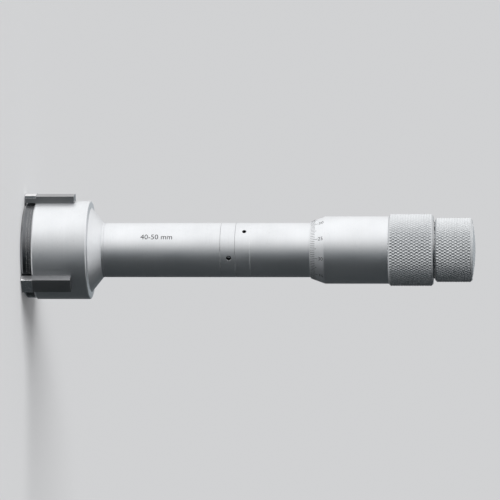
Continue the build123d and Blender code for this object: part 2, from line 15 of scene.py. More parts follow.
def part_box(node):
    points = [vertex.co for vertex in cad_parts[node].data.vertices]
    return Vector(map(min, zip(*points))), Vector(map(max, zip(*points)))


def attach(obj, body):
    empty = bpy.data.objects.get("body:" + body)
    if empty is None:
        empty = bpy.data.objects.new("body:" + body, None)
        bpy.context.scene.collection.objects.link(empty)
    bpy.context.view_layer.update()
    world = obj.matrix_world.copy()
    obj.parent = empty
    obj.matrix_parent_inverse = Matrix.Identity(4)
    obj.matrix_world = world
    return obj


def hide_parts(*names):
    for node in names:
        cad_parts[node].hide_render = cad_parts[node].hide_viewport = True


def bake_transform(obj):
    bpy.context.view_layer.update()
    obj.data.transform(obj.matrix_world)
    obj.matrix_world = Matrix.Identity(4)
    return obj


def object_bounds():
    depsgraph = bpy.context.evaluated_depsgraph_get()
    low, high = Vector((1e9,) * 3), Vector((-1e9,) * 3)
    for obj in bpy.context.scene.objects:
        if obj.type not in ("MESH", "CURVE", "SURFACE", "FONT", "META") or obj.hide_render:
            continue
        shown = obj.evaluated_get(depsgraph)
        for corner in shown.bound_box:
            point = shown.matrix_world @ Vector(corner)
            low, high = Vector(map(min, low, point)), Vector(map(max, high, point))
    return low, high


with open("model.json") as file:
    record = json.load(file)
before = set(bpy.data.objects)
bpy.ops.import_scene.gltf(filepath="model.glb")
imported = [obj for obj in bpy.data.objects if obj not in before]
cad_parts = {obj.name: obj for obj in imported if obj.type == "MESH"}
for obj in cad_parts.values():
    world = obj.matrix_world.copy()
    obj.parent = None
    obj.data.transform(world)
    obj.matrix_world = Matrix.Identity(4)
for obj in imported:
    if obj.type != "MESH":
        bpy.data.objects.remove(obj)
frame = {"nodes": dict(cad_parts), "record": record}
cad_low, cad_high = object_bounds()
bpy.context.scene.view_settings.view_transform = "Standard"

MM = 0.001
weld_gap = 0.002 * MM
fine_weld_gap = 0.001 * MM

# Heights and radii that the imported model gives
tube_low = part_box("head_tube")[0]
thimble_low, thimble_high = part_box("thimble")
grip_low, grip_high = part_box("grip_ring")
knob_low, knob_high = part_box("ratchet_knob")
cap_low, cap_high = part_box("end_cap")
collar_low, collar_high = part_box("joint_collar")
tube_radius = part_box("graduated_barrel")[1].y
thimble_radius = thimble_high.y
grip_radius = grip_high.y
knob_radius = knob_high.y
cap_radius = cap_high.y

# Scales: one turn of 100 lines is 0.5 mm on the diameter and 0.5 mm along the axis
datum_angle = 90.0
bore_set = 44
bore_min = 40
bore_max = 50
line_width = 0.14 * MM
line_proud = 0.012 * MM
line_sunk = 0.05 * MM
thimble_lines = 100
bevel_length = 5.5 * MM
bevel_front_radius = 11.0 * MM
bevel_edge_margin = 0.25 * MM

# Knurls, with the pitch round the piece and the lead along it
knurl_pitch = 1.155 * MM
knurl_lead = 2.0 * MM
knurl_depth = 0.28 * MM
knurl_steps = 8
knurl_flat = 0.75
knurl_chamfer = 0.75 * MM


def link(obj):
    """Puts a new object in the scene."""
    bpy.context.scene.collection.objects.link(obj)
    return obj


def mesh_piece(name, points, faces, smooth=False):
    """A mesh object at the origin from an array of points and an array of faces of equal size."""
    mesh = bpy.data.meshes.new(name)
    mesh.from_pydata(points.tolist(), [], faces.tolist())
    mesh.polygons.foreach_set("use_smooth", np.full(len(faces), smooth))
    mesh.validate()
    return link(bpy.data.objects.new(name, mesh))


def weld(mesh, distance, turn_out=False):
    """Merges points nearer than a distance, which drops faces without area. Turns normals out if asked."""
    bm = bmesh.new()
    bm.from_mesh(mesh)
    bmesh.ops.remove_doubles(bm, verts=bm.verts, dist=distance)
    if turn_out:
        bmesh.ops.recalc_face_normals(bm, faces=bm.faces)
    bm.to_mesh(mesh)
    bm.free()


def on_axis(radius, angle, height):
    """Points at a radius, an angle in degrees and a height: (r cos a, r sin a, z)."""
    turn = np.radians(angle)
    return np.stack([radius * np.cos(turn), radius * np.sin(turn), height + 0 * turn], axis=-1)


# Shared node groups


def new_group(name, inputs, outputs):
    """An empty shader node group with these float inputs and named outputs."""
    tree = bpy.data.node_groups.new(name, "ShaderNodeTree")
    for label, value in inputs.items():
        socket = tree.interface.new_socket(label, in_out="INPUT", socket_type="NodeSocketFloat")
        socket.default_value = value
    for label, kind in outputs.items():
        tree.interface.new_socket(label, in_out="OUTPUT", socket_type=kind)
    return tree, tree.nodes.new("NodeGroupInput"), tree.nodes.new("NodeGroupOutput")


def math_node(tree, operation, *values, clamp=False):
    """A Math node fed by sockets or plain numbers. Gives its output socket."""
    node = tree.nodes.new("ShaderNodeMath")
    node.operation = operation
    node.use_clamp = clamp
    for socket, value in zip(node.inputs, values):
        if isinstance(value, bpy.types.NodeSocket):
            tree.links.new(value, socket)
        else:
            socket.default_value = value
    return node.outputs[0]


def noise(tree, point, scale, detail=2.0, roughness=0.5):
    """Noise from 0 to 1 with this many cells to a metre."""
    node = tree.nodes.new("ShaderNodeTexNoise")
    node.inputs["Detail"].default_value = detail
    node.inputs["Roughness"].default_value = roughness
    if isinstance(scale, bpy.types.NodeSocket):
        tree.links.new(scale, node.inputs["Scale"])
    else:
        node.inputs["Scale"].default_value = scale
    tree.links.new(point, node.inputs["Vector"])
    return node.outputs["Fac"]


def place_on_axis(tree):
    """The shaded point in Object coordinates, its x and y, its distance from the axis and its height."""
    point = tree.nodes.new("ShaderNodeTexCoord").outputs["Object"]
    split = tree.nodes.new("ShaderNodeSeparateXYZ")
    tree.links.new(point, split.inputs[0])
    x, y, height = split.outputs
    squares = math_node(tree, "ADD", math_node(tree, "POWER", x, 2.0), math_node(tree, "POWER", y, 2.0))
    return point, x, y, math_node(tree, "SQRT", squares), height


def make_turned_grain():
    """Rings left by the lathe, round the walls and across the faces, and a satin grain between them.

    The rings are noise at (k r + d x, d y, k z) with finer octaves over it, where k is the ring scale and
    d the much smaller drift scale, so they run round the axis on any turned surface. Scales are in cells
    to a metre."""
    ring_scale, drift_scale, satin_scale = 1500.0, 40.0, 2600.0
    tree, given, result = new_group(
        "turned_grain",
        {"Rings": 0.5, "Relief": 0.1},
        {"Shade": "NodeSocketFloat", "Height": "NodeSocketFloat"},
    )
    point, x, y, radius, height = place_on_axis(tree)
    ringed = tree.nodes.new("ShaderNodeCombineXYZ")
    drift = math_node(tree, "MULTIPLY", x, drift_scale)
    across = math_node(tree, "MULTIPLY_ADD", radius, ring_scale, drift)
    tree.links.new(across, ringed.inputs["X"])
    tree.links.new(math_node(tree, "MULTIPLY", y, drift_scale), ringed.inputs["Y"])
    tree.links.new(math_node(tree, "MULTIPLY", height, ring_scale), ringed.inputs["Z"])
    rings = noise(tree, ringed.outputs[0], 1.0, detail=6.0, roughness=0.75)
    satin = noise(tree, point, satin_scale, roughness=0.6)
    apart = math_node(tree, "SUBTRACT", rings, satin)
    shade = math_node(tree, "MULTIPLY_ADD", apart, given.outputs["Rings"], satin)
    tree.links.new(shade, result.inputs["Shade"])
    tree.links.new(math_node(tree, "MULTIPLY", shade, given.outputs["Relief"]), result.inputs["Height"])
    return tree


def make_handling():
    """Soft patches where hands have dulled the surface, and fine specks in them.

    Mask is 0 to 1: a half plus the contrast times how far the patch noise is above 1 - Cover, held between
    0 and 1, times a speck noise that runs from the speck floor upwards."""
    contrast, speck_scale, speck_gain, speck_floor = 3.0, 900.0, 0.7, 0.65
    tree, given, result = new_group(
        "handling", {"Size": 70.0, "Cover": 0.5}, {"Mask": "NodeSocketFloat"}
    )
    point = tree.nodes.new("ShaderNodeTexCoord").outputs["Object"]
    patches = noise(tree, point, given.outputs["Size"], detail=4.0)
    start = math_node(tree, "SUBTRACT", 1.0, given.outputs["Cover"])
    above = math_node(tree, "SUBTRACT", patches, start)
    mask = math_node(tree, "MULTIPLY_ADD", above, contrast, 0.5, clamp=True)
    fine = noise(tree, point, speck_scale, detail=3.0)
    specks = math_node(tree, "MULTIPLY_ADD", fine, speck_gain, speck_floor)
    tree.links.new(math_node(tree, "MULTIPLY", mask, specks, clamp=True), result.inputs["Mask"])
    return tree


def make_hairlines():
    """Sparse hairline scratches in two directions: crests of a noise stretched forty times along a line.

    Mask is 0 to 1: how far the noise is above the crest level, times the crest gain, where a broader noise
    is above the patch level, times Amount."""
    along, across = 90.0, 3600.0
    crest_level, crest_gain = 0.66, 14.0
    patch_scale, patch_level, patch_gain = 110.0, 0.42, 6.0
    directions = ((0.5, 0.3, 0.2), (-0.4, 0.9, 1.3))
    tree, given, result = new_group("hairlines", {"Amount": 0.5}, {"Mask": "NodeSocketFloat"})
    point = tree.nodes.new("ShaderNodeTexCoord").outputs["Object"]
    lines = 0.0
    for turn in directions:
        turned = tree.nodes.new("ShaderNodeMapping")
        turned.inputs["Rotation"].default_value = turn
        turned.inputs["Scale"].default_value = (along, across, across)
        tree.links.new(point, turned.inputs["Vector"])
        crest = math_node(tree, "SUBTRACT", noise(tree, turned.outputs[0], 1.0, detail=1.0), crest_level)
        crest = math_node(tree, "MULTIPLY", crest, crest_gain, clamp=True)
        lines = math_node(tree, "MAXIMUM", crest, lines)
    where = math_node(tree, "SUBTRACT", noise(tree, point, patch_scale), patch_level)
    where = math_node(tree, "MULTIPLY", where, patch_gain, clamp=True)
    mask = math_node(tree, "MULTIPLY", math_node(tree, "MULTIPLY", lines, where), given.outputs["Amount"])
    tree.links.new(mask, result.inputs["Mask"])
    return tree


def make_worn_edges():
    """Edges rubbed bright: where the normal rounded over a width leaves the true one.

    Mask is 0 to 1: one less their dot product, times a gain that a noise varies along the edge."""
    smoothing, wear_scale, wear_gain = 6, 500.0, 6.0
    tree, given, result = new_group(
        "worn_edges", {"Width": 0.2 * MM}, {"Mask": "NodeSocketFloat", "Normal": "NodeSocketVector"}
    )
    rounded = tree.nodes.new("ShaderNodeBevel")
    rounded.samples = smoothing
    tree.links.new(given.outputs["Width"], rounded.inputs["Radius"])
    true = tree.nodes.new("ShaderNodeNewGeometry")
    likeness = tree.nodes.new("ShaderNodeVectorMath")
    likeness.operation = "DOT_PRODUCT"
    tree.links.new(rounded.outputs["Normal"], likeness.inputs[0])
    tree.links.new(true.outputs["Normal"], likeness.inputs[1])
    point = tree.nodes.new("ShaderNodeTexCoord").outputs["Object"]
    apart = math_node(tree, "SUBTRACT", 1.0, likeness.outputs["Value"])
    uneven = math_node(tree, "MULTIPLY_ADD", noise(tree, point, wear_scale, detail=3.0), wear_gain, 1.0)
    tree.links.new(math_node(tree, "MULTIPLY", apart, uneven, clamp=True), result.inputs["Mask"])
    tree.links.new(rounded.outputs["Normal"], result.inputs["Normal"])
    return tree


def make_ring_line():
    """A soft line round the axis at a height. Mask is 1 on the line and 0 from its width outwards."""
    tree, given, result = new_group(
        "ring_line", {"Height": 0.0, "Width": 0.1 * MM}, {"Mask": "NodeSocketFloat"}
    )
    height = place_on_axis(tree)[-1]
    away = math_node(tree, "ABSOLUTE", math_node(tree, "SUBTRACT", height, given.outputs["Height"]))
    share = math_node(tree, "DIVIDE", away, given.outputs["Width"])
    tree.links.new(math_node(tree, "SUBTRACT", 1.0, share, clamp=True), result.inputs["Mask"])
    return tree


def make_depth_below():
    """How far a point lies inside a radius about the axis, as a share of a depth. Mask is 0 to 1."""
    tree, given, result = new_group(
        "depth_below", {"Radius": 0.01, "Depth": 0.4 * MM}, {"Mask": "NodeSocketFloat"}
    )
    radius = place_on_axis(tree)[3]
    inside = math_node(tree, "SUBTRACT", given.outputs["Radius"], radius)
    mask = math_node(tree, "DIVIDE", inside, given.outputs["Depth"], clamp=True)
    tree.links.new(mask, result.inputs["Mask"])
    return tree


turned_grain = make_turned_grain()
handling = make_handling()
hairlines = make_hairlines()
worn_edges = make_worn_edges()
ring_line = make_ring_line()
depth_below = make_depth_below()


# Finishes

# How much of the colour each effect covers, how dark it is there, and what it adds to the roughness
grain_share, grain_dark, grain_rough = 0.35, 0.3, 0.12
scratch_share, scratch_dark, scratch_rough, scratch_relief = 0.5, 0.35, -0.08, -0.3
edge_gain, edge_brightest, edge_rough = 1.1, 0.97, -0.1
seam_share, seam_dark, seam_width = 0.5, 0.85, 0.14 * MM
# The pits' near-black colour is painted shade inside the tube's holes, which also get rougher
pit_shade_colour, pit_rough, pit_rim, pit_depth = (0.012, 0.012, 0.013), 0.3, 0.3 * MM, 0.25 * MM
valley_share, valley_dark, valley_power, valley_rough = 0.35, 0.7, 1.5, 0.1
bump_height = 0.012 * MM


def place(tree, group, **values):
    """A group placed in a material with its own values."""
    node = tree.nodes.new("ShaderNodeGroup")
    node.node_tree = group
    for label, value in values.items():
        node.inputs[label].default_value = value
    return node.outputs


def colour_mix(tree, factor, under, over):
    """Mixes two colours by a mask. Each is a socket or three numbers."""
    first_colour, second_colour, mixed_colour = 6, 7, 2
    node = tree.nodes.new("ShaderNodeMix")
    node.data_type = "RGBA"
    tree.links.new(factor, node.inputs["Factor"])
    for number, value in ((first_colour, under), (second_colour, over)):
        if isinstance(value, bpy.types.NodeSocket):
            tree.links.new(value, node.inputs[number])
        else:
            node.inputs[number].default_value = (*value, 1.0)
    return node.outputs[mixed_colour]


def darkened(colour, share):
    """A colour with a share of it taken away."""
    return tuple(c * (1.0 - share) for c in colour)


def new_material(name):
    """A new material, its node tree and its Principled shader."""
    material = bpy.data.materials.new(name)
    material.use_nodes = True
    return material, material.node_tree, material.node_tree.nodes["Principled BSDF"]


def metal(name, colour, roughness, rings=0.6, relief=0.3, dulled=0.09, stain=0.06, scratched=0.7,
          worn=None, edge_width=0.2 * MM, seams=(), pits_below=None, valleys_below=None):
    """A metal: lathe rings and grain, hairlines, dulled patches, bright edges, dark joints, painted shade
    in holes, and a darker tone in a knurl's valleys.

    rings, relief, dulled, stain and scratched are strengths. worn is the colour of rubbed edges and
    edge_width how far in they reach. seams are heights of dark joints, pits_below the radius under which
    holes get painted shade, darker with depth, and valleys_below the radius of a knurl's crests."""
    material, tree, shader = new_material(name)
    shader.inputs["Metallic"].default_value = 1.0
    grain = place(tree, turned_grain, Rings=rings, Relief=relief)
    patches = place(tree, handling)["Mask"]
    edges = place(tree, worn_edges, Width=edge_width)
    base = colour_mix(tree, patches, colour, darkened(colour, stain))
    shade = math_node(tree, "MULTIPLY", grain["Shade"], grain_share)
    base = colour_mix(tree, shade, base, darkened(colour, grain_dark))
    scratches = place(tree, hairlines, Amount=scratched)["Mask"]
    marks = math_node(tree, "MULTIPLY", scratches, scratch_share)
    base = colour_mix(tree, marks, base, darkened(colour, scratch_dark))
    # The grain's shade is about a half, so half of what it adds comes off first
    rough = math_node(tree, "MULTIPLY_ADD", patches, dulled, roughness - grain_rough / 2.0)
    rough = math_node(tree, "MULTIPLY_ADD", grain["Shade"], grain_rough, rough)
    rough = math_node(tree, "MULTIPLY_ADD", scratches, scratch_rough, rough)
    rubbed = worn or tuple(min(edge_brightest, c * edge_gain) for c in colour)
    base = colour_mix(tree, edges["Mask"], base, rubbed)
    rough = math_node(tree, "MULTIPLY_ADD", edges["Mask"], edge_rough, rough)
    for height in seams:
        line = place(tree, ring_line, Height=height, Width=seam_width)["Mask"]
        dirt_and_shade = math_node(tree, "MULTIPLY", line, seam_share)
        base = colour_mix(tree, dirt_and_shade, base, darkened(colour, seam_dark))
    # Painted shade: holes in the tube go near black, the deeper the darker
    if pits_below:
        dirt_and_shade = place(tree, depth_below, Radius=pits_below, Depth=pit_depth)["Mask"]
        base = colour_mix(tree, dirt_and_shade, base, pit_shade_colour)
        rough = math_node(tree, "MULTIPLY_ADD", dirt_and_shade, pit_rough, rough)
    # Darker and rougher towards a knurl's valleys, the deeper the darker
    if valleys_below:
        valley = place(tree, depth_below, Radius=valleys_below, Depth=knurl_depth)["Mask"]
        dirt_and_shade = math_node(tree, "MULTIPLY", math_node(tree, "POWER", valley, valley_power), valley_share)
        base = colour_mix(tree, dirt_and_shade, base, darkened(colour, valley_dark))
        rough = math_node(tree, "MULTIPLY_ADD", valley, valley_rough, rough)
    bump = tree.nodes.new("ShaderNodeBump")
    bump.inputs["Distance"].default_value = bump_height
    relief_height = math_node(tree, "MULTIPLY_ADD", scratches, scratch_relief * relief, grain["Height"])
    tree.links.new(relief_height, bump.inputs["Height"])
    tree.links.new(edges["Normal"], bump.inputs["Normal"])
    tree.links.new(base, shader.inputs["Base Color"])
    tree.links.new(rough, shader.inputs["Roughness"])
    tree.links.new(bump.outputs["Normal"], shader.inputs["Normal"])
    return material


def engraving_paint():
    """Black paint in the engraved lines, slightly uneven."""
    black, faded = (0.012, 0.012, 0.014), (0.05, 0.05, 0.055)
    smoothest, roughened, speckle_scale = 0.4, 0.25, 1800.0
    material, tree, shader = new_material("engraving_paint")
    shader.inputs["Specular IOR Level"].default_value = 0.35
    point = tree.nodes.new("ShaderNodeTexCoord").outputs["Object"]
    speckle = noise(tree, point, speckle_scale, detail=3.0)
    rough = math_node(tree, "MULTIPLY_ADD", speckle, roughened, smoothest)
    tree.links.new(colour_mix(tree, speckle, black, faded), shader.inputs["Base Color"])
    tree.links.new(rough, shader.inputs["Roughness"])
    return material


chrome = (0.86, 0.875, 0.895)
satin_chrome = metal("satin_chrome", chrome, 0.4)
tube_chrome = metal(
    "tube_chrome", chrome, 0.4,
    seams=(collar_low.z, collar_high.z), pits_below=tube_radius - pit_rim,
)
grip_chrome = metal(
    "grip_chrome", (0.84, 0.86, 0.88), 0.36,
    rings=0.0, relief=0.15, scratched=0.0, valleys_below=grip_radius,
)
knob_chrome = metal(
    "knob_chrome", (0.86, 0.88, 0.90), 0.38,
    rings=0.0, relief=0.15, scratched=0.0, valleys_below=knob_radius,
)
finishes = {
    "satin_chrome": satin_chrome,
    "knurled_chrome": grip_chrome,
    "dark_steel": metal(
        "dark_steel", (0.165, 0.17, 0.18), 0.2, rings=0.9, relief=0.25, stain=0.2, worn=(0.5, 0.5, 0.5)
    ),
    "black_screw": metal("black_screw", (0.05, 0.05, 0.055), 0.33, rings=0.0, worn=(0.22, 0.22, 0.22)),
    "anvil_steel": metal(
        "anvil_steel", (0.40, 0.405, 0.415), 0.36, rings=0.7, stain=0.12, worn=(0.66, 0.66, 0.67)
    ),
    "carbide": metal(
        "carbide", (0.95, 0.95, 0.96), 0.22, rings=0.0, relief=0.06, dulled=0.03, stain=0.02, scratched=0.3
    ),
    "ground_steel": metal("ground_steel", (0.60, 0.61, 0.62), 0.2, rings=0.8),
    "bush_bronze": metal("bush_bronze", (0.62, 0.46, 0.24), 0.3, rings=0.8),
    "spring_steel": metal(
        "spring_steel", (0.42, 0.43, 0.44), 0.25, rings=0.0, scratched=0.0, edge_width=0.05 * MM
    ),
}
tube_nodes = ("head_tube", "joint_collar", "graduated_barrel")
paint = engraving_paint()

for part in frame["record"]["subparts"]:
    node = frame["nodes"][part["node"]]
    finish = tube_chrome if part["node"] in tube_nodes else finishes[part["material_slot"]]
    node.data.materials.clear()
    node.data.materials.append(finish)


# Knurled pieces


def zigzag(share):
    """0 at whole numbers, 1 half-way between them, straight in between."""
    return 1.0 - np.abs(2.0 * (share % 1.0) - 1.0)


def knurl_columns(outer_radius):
    """Columns of a knurl's grid: as many whole pitches as fit round this radius, in even steps."""
    return round(2.0 * math.pi * outer_radius / knurl_pitch) * knurl_steps


def knurled_piece(name, outer_radius, low, high, section):
    """A knurled ring as one closed grid: up over the knurl, and back through the rest of its section.

    Two families of V grooves cross. With u and v counted in pitches round and along, a = u + v and
    b = u - v, the height over the valleys is min(zigzag(a), zigzag(b), flat) / flat of the depth, cut down
    to a 45 degree chamfer at each end. section holds the rest, row by row: a radius, which is one number or
    one for every column, and a height."""
    columns = knurl_columns(outer_radius)
    rows = round((high - low) / (knurl_lead / knurl_steps))
    u = np.arange(columns) / knurl_steps
    v = np.arange(rows + 1)[:, None] / knurl_steps
    heights = low + (high - low) * np.arange(rows + 1) / rows
    share = np.minimum(np.minimum(zigzag(u + v), zigzag(u - v)), knurl_flat) / knurl_flat
    from_end = np.minimum(heights - low, high - heights)[:, None]
    chamfer = outer_radius - np.clip(knurl_chamfer - from_end, 0.0, None)
    radius = np.minimum(outer_radius - knurl_depth * (1.0 - share), chamfer)
    rest = [np.broadcast_to(r, columns) for r, _ in section]
    radius = np.vstack([radius, *rest])
    heights = np.concatenate([heights, [z for _, z in section]])
    angle = np.broadcast_to(360.0 * np.arange(columns) / columns, radius.shape)
    points = on_axis(radius, angle, heights[:, None])
    row, column = np.meshgrid(np.arange(len(heights)), np.arange(columns), indexing="ij")
    above, beside = (row + 1) % len(heights), (column + 1) % columns
    a, b = row * columns + column, row * columns + beside
    c, d = above * columns + beside, above * columns + column
    middle_u, middle_v = (column + 0.5) / knurl_steps, (row + 0.5) / knurl_steps
    along_a = (zigzag(middle_u + middle_v) < zigzag(middle_u - middle_v))[..., None]
    first = np.where(along_a, np.stack([a, b, d], -1), np.stack([a, b, c], -1))
    second = np.where(along_a, np.stack([b, c, d], -1), np.stack([a, c, d], -1))
    faces = np.concatenate([first.reshape(-1, 3), second.reshape(-1, 3)])
    return mesh_piece(name, points.reshape(-1, 3), faces)


def knurled_grip():
    """The knurled ring on the thimble, a plain sleeve inside."""
    seat_depth = 0.58 * MM
    bore = thimble_radius - seat_depth
    section = [(bore, grip_high.z), (bore, grip_low.z)]
    ring = knurled_piece("knurled_grip", grip_radius, grip_low.z, grip_high.z, section)
    ring.data.materials.append(grip_chrome)
    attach(ring, "thimble")
    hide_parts("grip_ring")


def knurled_knob():
    """The ratchet knob: the seat of its cap, the wall on the hub, and the bore with three keyways.

    The keyways are 120 degrees apart. A keyway's floor is flat: its radius is (bore + depth) / cos a, for
    angles a from its middle that are within its half width."""
    shell, cap_gap, hub = 1.5 * MM, 0.02 * MM, 3.55 * MM
    keyway_depth, keyway_half, keyway_over = 0.52 * MM, 1.02 * MM, 0.05 * MM
    wall_low, wall_high = knob_low.z + 10.2 * MM, knob_low.z + 12.2 * MM
    bore, seat = knob_radius - shell, cap_radius + cap_gap
    columns = knurl_columns(knob_radius)
    from_middle = (360.0 * np.arange(columns) / columns + 60.0) % 120.0 - 60.0
    floor = (bore + keyway_depth) / np.cos(np.radians(from_middle))
    keyed = np.where(np.abs(from_middle) < math.degrees(keyway_half / bore), floor, bore)
    keyway_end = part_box("ratchet_disc")[1].z + keyway_over
    section = [
        (seat, knob_high.z), (seat, wall_high), (hub, wall_high), (hub, wall_low),
        (bore, wall_low), (bore, keyway_end), (keyed, keyway_end), (keyed, knob_low.z),
    ]
    knob = knurled_piece("knurled_knob", knob_radius, knob_low.z, knob_high.z, section)
    weld(knob.data, fine_weld_gap)
    knob.data.materials.append(knob_chrome)
    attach(knob, "ratchet")
    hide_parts("ratchet_knob")


knurled_grip()
knurled_knob()


# Plain turned pieces


def turned_piece(name, profile, columns, body, node, finish):
    """A closed turned piece from a profile that starts and ends on the axis.

    The profile's rows are a radius and a height, each one number or one for every column from 0 to 360
    degrees. The last column lies on the first, and a row on the axis is one point, so the weld closes the
    seam and the poles."""
    sharpest_round = math.radians(25.0)
    share = np.linspace(0.0, 1.0, columns + 1)
    radius = np.stack([r + 0 * share for r, _ in profile])
    height = np.stack([z + 0 * share for _, z in profile])
    points = on_axis(radius, 360.0 * share, height).reshape(-1, 3)
    row, column = np.meshgrid(np.arange(len(profile) - 1), np.arange(columns), indexing="ij")
    corner = (row * (columns + 1) + column).ravel()
    faces = np.stack([corner, corner + 1, corner + columns + 2, corner + columns + 1], axis=1)
    piece = mesh_piece(name, points, faces, smooth=True)
    weld(piece.data, weld_gap, turn_out=True)
    piece.data.set_sharp_from_angle(angle=sharpest_round)
    piece.data.materials.append(finishes[finish])
    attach(piece, body)
    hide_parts(node)


def measuring_screw():
    """The spindle, with its right-hand thread of 0.5 mm.

    The thread's crests are an eighth of the pitch p wide and its roots a quarter. A row of it follows the
    helix: at the angle a in degrees its height is z0 + p (n + f + a / 360), for the turn n and the phase f,
    held between the thread's ends. Its depth depends on f alone, apart from the 45 degree lead-in and the
    relief at the wall."""
    low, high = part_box("spindle")
    guide, seat, end, edge = 3.5 * MM, 3.6 * MM, 2.5 * MM, 0.3 * MM
    thread_low = thimble_low.z + 7.5 * MM
    wall_low, wall_high = high.z - 11.0 * MM, high.z - 7.0 * MM
    pitch, relief_length, columns = 0.5 * MM, 0.8 * MM, 48
    crest, thread_depth = high.x, 0.6134 * pitch
    phases = np.array((0.0, 0.125, 0.4375, 0.6875))
    sunk = np.array((0.0, 0.0, 1.0, 1.0))
    turns = math.ceil((wall_low - thread_low) / pitch) + 1
    steps = (np.arange(-1, turns)[:, None] + phases).reshape(-1, 1)
    along = thread_low + pitch * (steps + np.linspace(0.0, 1.0, columns + 1))
    height = np.clip(along, thread_low, wall_low)
    radius = crest - thread_depth * np.tile(sunk, turns + 1)[:, None]
    radius = np.minimum(radius, guide + height - thread_low)
    radius = np.where(height > wall_low - relief_length, crest - thread_depth, radius)
    profile = [
        (0.0, low.z), (guide - edge, low.z), (guide, low.z + edge), (guide, thread_low),
        *zip(radius, height),
        (seat, wall_low), (seat, wall_high), (end, wall_high), (end, high.z - edge),
        (end - edge, high.z), (0.0, high.z),
    ]
    turned_piece("measuring_screw", profile, columns, "thimble", "spindle", "ground_steel")


def bearing_ball():
    """The ball between rod and spindle.

    At the angle t from its lowest point it is R sin t out from the axis and R (1 - cos t) up."""
    rows, columns = 33, 64
    low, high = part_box("contact_ball")
    radius = (high.z - low.z) / 2.0
    turn = np.radians(np.linspace(0.0, 180.0, rows))
    profile = list(zip(radius * np.sin(turn), low.z + radius * (1.0 - np.cos(turn))))
    turned_piece("bearing_ball", profile, columns, "cone_rod", "contact_ball", "ground_steel")


def domed_cap():
    """The knob's cap, a shallow dome over a short skirt.

    The dome is part of a sphere of radius D = (R^2 + h^2) / 2h, with R the cap's radius and h the rise, so
    at the radius r it is top - D + sqrt(D^2 - r^2) high."""
    rise, skirt, edge = 0.95 * MM, 1.0 * MM, 0.12 * MM
    rows, columns = 16, 128
    sphere = (cap_radius ** 2 + rise ** 2) / (2.0 * rise)
    out = np.linspace(0.0, cap_radius - edge, rows)[::-1]
    dome = cap_high.z - sphere + np.sqrt(sphere ** 2 - out ** 2)
    inner, under = cap_radius - skirt, cap_low.z + skirt
    profile = [
        (0.0, under), (inner, under), (inner, cap_low.z), (cap_radius - edge, cap_low.z),
        (cap_radius, cap_low.z + edge), (cap_radius, cap_high.z - rise - edge / 2.0),
        *zip(out, dome),
    ]
    turned_piece("domed_cap", profile, columns, "ratchet", "end_cap", "satin_chrome")


measuring_screw()
bearing_ball()
domed_cap()


# Springs, which belong to no moving body


def coil(base, axis, aside, length, radius, wire, turns):
    """Points and faces of a coil spring with a closed turn at each end, a round wire along a helix.

    At the turn t from 0 to n the helix is at radius R, angle 360 t and height h(t), which climbs one wire
    in the first and last turn and evenly between. Each of its points is the centre of a circle of the wire,
    in the plane of the radius and the axis."""
    rings_per_turn, sides = 24, 10
    rings = turns * rings_per_turn + 1
    turn = np.linspace(0.0, turns, rings)
    climb = np.interp(turn, (0.0, 1.0, turns - 1.0, turns), (0.0, wire, length - 2.0 * wire, length - wire))
    cross = np.cross(axis, aside)
    out = np.outer(np.cos(2 * np.pi * turn), aside) + np.outer(np.sin(2 * np.pi * turn), cross)
    centre = base + out * radius + np.outer(climb + wire / 2.0, axis)
    around = 2.0 * np.pi * np.arange(sides) / sides
    ring = out[:, None, :] * np.cos(around)[:, None] + np.asarray(axis) * np.sin(around)[:, None]
    points = (centre[:, None, :] + ring * (wire / 2.0)).reshape(-1, 3)
    row, column = np.meshgrid(np.arange(rings - 1), np.arange(sides), indexing="ij")
    beside = (column + 1) % sides
    a, b = row * sides + column, row * sides + beside
    c, d = (row + 1) * sides + beside, (row + 1) * sides + column
    walls = np.stack([a, b, c, a, c, d], axis=-1).reshape(-1, 3)
    fan = np.arange(1, sides - 1)
    first = np.stack([0 * fan, fan + 1, fan], axis=-1)
    last = (rings - 1) * sides + np.stack([0 * fan, fan, fan + 1], axis=-1)
    return points, np.concatenate([walls, first, last])


def spring_piece(name, coils, node):
    """Coils made one piece in place of an imported spring."""
    points, faces, count = [], [], 0
    for coil_points, coil_faces in coils:
        points.append(coil_points)
        faces.append(coil_faces + count)
        count += len(coil_points)
    spring = mesh_piece(name, np.concatenate(points), np.concatenate(faces), smooth=True)
    weld(spring.data, 0.0, turn_out=True)
    spring.data.materials.append(finishes["spring_steel"])
    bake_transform(spring)
    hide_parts(node)


def rod_spring():
    """The spring round the rod, from its bush up to its seat."""
    wire, turns = 0.8 * MM, 10
    low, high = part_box("rod_return_spring")
    base, up, aside = np.array((0.0, 0.0, low.z)), np.array((0.0, 0.0, 1.0)), np.array((1.0, 0.0, 0.0))
    wound = coil(base, up, aside, high.z - low.z, high.x - wire / 2.0, wire, turns)
    spring_piece("rod_spring", [wound], "rod_return_spring")


def anvil_springs():
    """Two springs on each anvil, from the sleeve in to the anvil's ears."""
    wire, turns = 0.34 * MM, 7
    low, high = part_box("anvil_springs_1")
    across, length = high.z - low.z, high.y - low.y
    radius, apart = (across - wire) / 2.0, high.x - across / 2.0
    up = np.array((0.0, 0.0, (low.z + high.z) / 2.0))
    for number in (1, 2, 3):
        turn = math.radians(datum_angle + 120.0 * (number - 1))
        out = np.array((math.cos(turn), math.sin(turn), 0.0))
        side = np.array((-math.sin(turn), math.cos(turn), 0.0))
        coils = []
        for hand in (1.0, -1.0):
            base = out * high.y + side * hand * apart + up
            coils.append(coil(base, -out, side, length, radius, wire, turns))
        spring_piece(
            f"anvil_coils_{number}", coils, f"anvil_springs_{number}",
        )


rod_spring()
anvil_springs()


# Engraved lines and figures


